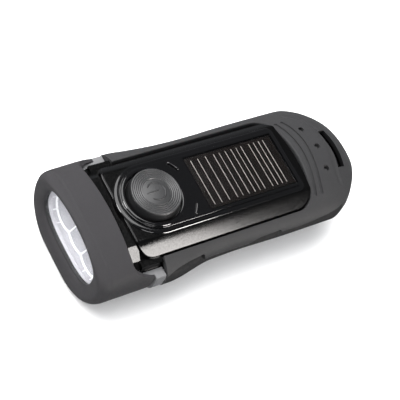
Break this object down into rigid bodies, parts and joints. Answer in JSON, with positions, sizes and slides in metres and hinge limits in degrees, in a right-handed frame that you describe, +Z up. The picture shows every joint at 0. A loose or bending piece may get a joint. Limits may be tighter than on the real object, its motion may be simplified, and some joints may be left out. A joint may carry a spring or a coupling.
{
  "type": "hand crank flashlight",
  "caption": "Palm-sized hand crank flashlight with a solar window, round power button, lamps in a silver reflector, rubber bezel and tail grip, and a folding crank beneath.",
  "frame": {"origin": "ground plane under the middle of the torch", "axes": "+X runs from the lens to the tail, +Y across, +Z up out of the solar deck"},
  "size_m": [0.141, 0.0592, 0.0386],
  "materials": {
    "grip_rubber": "fine matt grain",
    "bezel_rubber": "fine matt grain",
    "gloss_black": "polished",
    "matt_black": "fine spark texture",
    "housing_grey": "fine spark texture",
    "clear_plastic": "clear",
    "mirror_silver": "vacuum metallised",
    "white_board": "solder mask",
    "green_board": "solder mask",
    "led_white": "clear epoxy",
    "solar_dark": "satin",
    "steel": "zinc plated",
    "brass": "turned",
    "white_nylon": "moulded",
    "cell_green": "shrink sleeve",
    "copper": "enamelled wire"
  },
  "bodies": {
    "case": {"front_bezel": "bezel_rubber", "lens_seal": "matt_black", "lens": "clear_plastic", "reflector": "mirror_silver", "led_board": "white_board", "head_collar": "gloss_black", "led_1": "led_white", "led_2": "led_white", "led_3": "led_white", "upper_housing": "gloss_black", "lower_housing": "housing_grey", "housing_seal": "matt_black", "tail_grip": "grip_rubber", "deck_panel": "gloss_black", "solar_cell": "solar_dark", "solar_window": "clear_plastic", "housing_screw_1": "steel", "housing_screw_2": "steel", "housing_screw_3": "steel", "housing_screw_4": "steel", "button_ring": "gloss_black", "main_board": "green_board", "switch_board": "green_board", "tact_switch": "matt_black", "battery_cradle": "matt_black", "battery_cell_1": "cell_green", "battery_cell_2": "cell_green", "battery_cell_3": "cell_green", "board_screw_1": "steel", "board_screw_2": "steel", "board_screw_3": "steel", "board_screw_4": "steel", "shaft_bush": "brass", "shaft_seal": "matt_black", "gear_axle_1": "steel", "gear_axle_2": "steel", "gearbox_plate": "matt_black", "generator_can": "steel", "generator_cap": "steel", "stator_winding": "copper", "plate_screw_1": "steel", "plate_screw_2": "steel"},
    "crank": {"crank_arm": "matt_black", "crank_shaft": "steel", "crank_screw": "steel", "thrust_washer": "steel", "shaft_clip": "steel", "drive_gear": "white_nylon", "knob_hinge_pin": "steel"},
    "knob_stem_body": {"knob_stem": "steel"},
    "knob": {"crank_knob": "matt_black"},
    "button": {"button_cap": "gloss_black", "button_pad": "grip_rubber", "switch_plunger": "matt_black"},
    "gear_1": {"compound_gear_1": "white_nylon"},
    "gear_2": {"compound_gear_2": "white_nylon"},
    "rotor": {"generator_rotor": "brass"}
  },
  "joints": [
    {"name": "crank_spin", "type": "hinge", "parent": "case", "child": "crank", "pos_m": [-0.0042, 0, 0.007], "axis": [0, 0, 1], "continuous": true},
    {"name": "knob_fold", "type": "hinge", "parent": "crank", "child": "knob_stem_body", "pos_m": [-0.0482, 0, 0.0053], "axis": [0, 1, 0], "range_deg": [0, 90]},
    {"name": "knob_spin", "type": "hinge", "parent": "knob_stem_body", "child": "knob", "pos_m": [-0.0482, 0, 0.0053], "axis": [1, 0, 0], "continuous": true},
    {"name": "button_press", "type": "slide", "parent": "case", "child": "button", "axis": [0, 0, -1], "range_m": [0, 0.0012], "stiffness_N_per_m": 1700, "springref_m": -0.0003},
    {"name": "gear_1_spin", "type": "hinge", "parent": "case", "child": "gear_1", "pos_m": [0.01655, 0.00599, 0.022], "axis": [0, 0, 1], "continuous": true},
    {"name": "gear_2_spin", "type": "hinge", "parent": "case", "child": "gear_2", "pos_m": [0.02831, -0.00601, 0.022], "axis": [0, 0, 1], "continuous": true},
    {"name": "rotor_spin", "type": "hinge", "parent": "case", "child": "rotor", "pos_m": [0.03962, -0.00201, 0.022], "axis": [0, 0, 1], "continuous": true}
  ],
  "couplings": [
    {"joint": "gear_1_spin", "follows": "crank_spin", "ratio": -3},
    {"joint": "gear_2_spin", "follows": "crank_spin", "ratio": 9},
    {"joint": "rotor_spin", "follows": "crank_spin", "ratio": -27}
  ]
}
